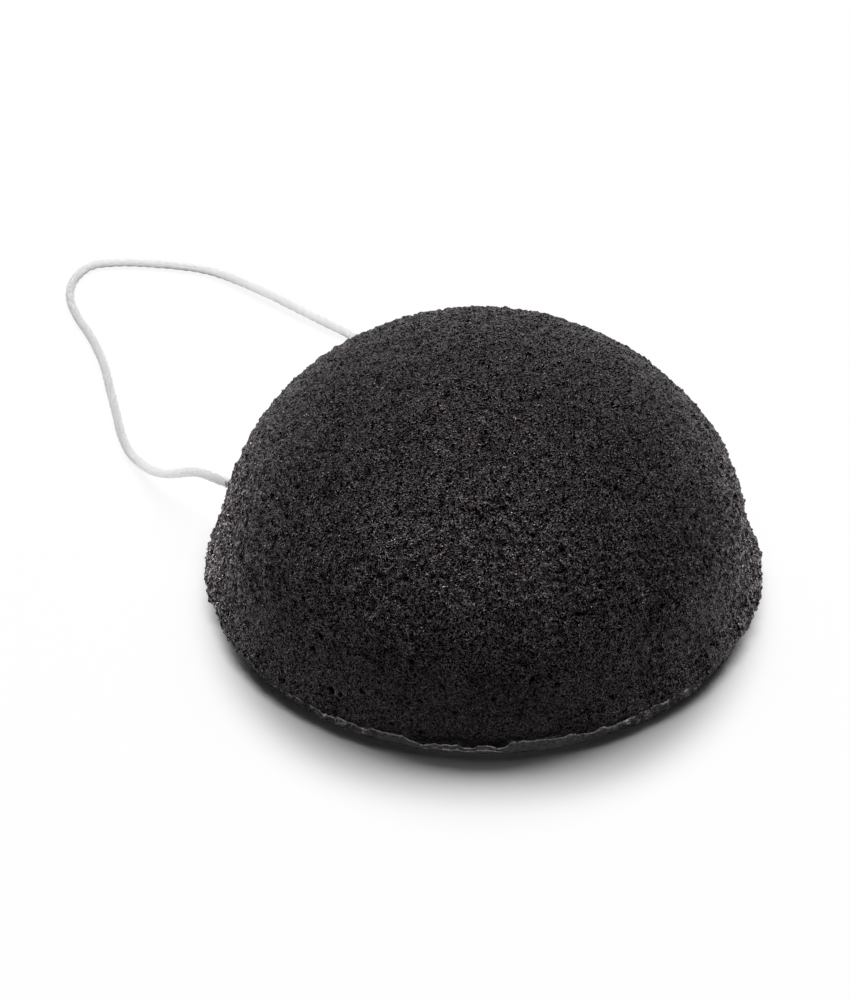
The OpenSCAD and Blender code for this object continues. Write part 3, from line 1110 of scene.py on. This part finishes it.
def make_floor():
    """A pale floor, which keeps the sponge's shadow and turns white away from it."""
    material, tree, shader = nodes_of("pale_floor")
    pale = {"Roughness": 1.0, "Specular IOR Level": 0.0, "Base Color": FLOOR_TINT}
    set_inputs(tree, shader, pale)
    size = (SHADE_HALF[0] * MM, SHADE_HALF[1] * MM, 1)
    place = vector_node(tree, "DIVIDE", object_place(tree), size).outputs[0]
    far = vector_node(tree, "LENGTH", place).outputs["Value"]
    edge = {"Value": far, "From Min": SHADE_EDGE[0], "From Max": SHADE_EDGE[1], "To Max": SHADE_WHITE}
    fade = node_of(tree, "MapRange", edge, interpolation_type="SMOOTHSTEP")
    share = scaled(tree, fade.outputs[0], seen_share(tree))
    white = node_of(tree, "Emission")
    both = node_of(tree, "MixShader", {0: share, 1: shader.outputs[0], 2: white.outputs[0]})
    set_inputs(tree, tree.nodes["Material Output"], {"Surface": both.outputs[0]})
    h = FLOOR_HALF / MM
    corners = [(x, y, FLOOR_Z) for x, y in ((-h, -h), (h, -h), (h, h), (-h, h))]
    floor = mesh_piece("floor", corners, [[0, 1, 2, 3]], material)
    floor.rotation_euler.z = CAMERA_AZIMUTH


def soft_lamp(name, place, size, watts):
    """An oval lamp that faces the sponge."""
    toward = place.normalized()
    across = Vector((-place.y, place.x, 0)).normalized()
    lamp = bpy.data.lights.new(name, "AREA")
    lamp.shape = "ELLIPSE"
    lamp.size, lamp.size_y = size
    lamp.energy = watts
    holder = bpy.data.objects.new(name, lamp)
    holder.location = place
    holder.rotation_euler = Matrix((across, toward.cross(across), toward)).transposed().to_euler()
    bpy.context.collection.objects.link(holder)


def make_light():
    """A large soft lamp above and behind, and a dim sky that looks white."""
    turn, rise = CAMERA_AZIMUTH - radians(KEY_TURN), radians(KEY_RISE)
    place = Vector((-sin(turn) * cos(rise), cos(turn) * cos(rise), sin(rise))) * KEY_FAR
    soft_lamp("key", place, KEY_SIZE, KEY_WATTS)
    soft_lamp("glow", place, GLOW_SIZE, GLOW_WATTS)
    world = bpy.data.worlds.new("studio")
    bpy.context.scene.world = world
    world.use_nodes = True
    tree = world.node_tree
    colour = blend_colours(tree, seen_share(tree), SKY_LEVEL, 1.0)
    set_inputs(tree, tree.nodes["Background"], {"Color": colour})


# The cords, and which parts of the model they stand for

def make_cords(cotton):
    """The hanging cord, its return and the stretch inside the foam."""
    strands = tight_knot()
    left, left_way = mouth_place(-1)
    right, right_way = mouth_place(1)
    near, far = KNOT_X - KNOT_LEAD, KNOT_X + KNOT_LEAD
    loop = curved([left - left_way * INSIDE, left, *in_mm(LOOP_ROUTE), (near, LEAD_Y, LOW_Z)])
    home = curved([right - right_way * INSIDE, right, *in_mm(RETURN_ROUTE), (near, LEAD_Y, HIGH_Z)])
    long_tail = curved([(far, LEAD_Y, HIGH_Z), *in_mm(HIGH_TAIL_ROUTE)])
    short_tail = curved([(far, LEAD_Y, LOW_Z), *in_mm(LOW_TAIL_ROUTE)])
    for name, parts, exit_at, nodes in (
        ("hanging_cord", (loop, strands[0], long_tail), left, ("hanging_loop", "loop_knot")),
        ("return_cord", (home, strands[1], short_tail), right, ("return_leg", "cord_tails")),
    ):
        line = even(relaxed(even(np.vstack(parts), JOIN_STEP), JOIN_ROUNDS), RING_STEP)
        line[:, 2] = np.maximum(line[:, 2], CORD_D / 2)
        piece = mesh_piece(name, *twisted_tube(line), cotton)
        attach(piece, "root")
        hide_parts(*nodes)
        length_of(line) * MM
    inner = twisted_tube(even(channel_line(), RING_STEP))
    piece = mesh_piece("channel_cord", *inner, cotton)
    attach(piece, "root")
    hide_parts("threaded_cord")


def make_foam(material):
    """The foam body in place of its plain solid."""
    corners, faces, values = foam_mesh()
    piece = mesh_piece("foam_dome", dimpled(corners), faces.tolist(), material)
    for name, numbers in values.items():
        layer = piece.data.attributes.new(name, "FLOAT", "POINT")
        layer.data.foreach_set("value", numbers.astype(np.float32))
    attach(piece, "root")
    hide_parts("sponge_body")


make_camera()
make_cords(cotton_material())
make_foam(foam_material())
make_floor()
make_light()
bpy.context.scene.view_settings.view_transform = "Standard"
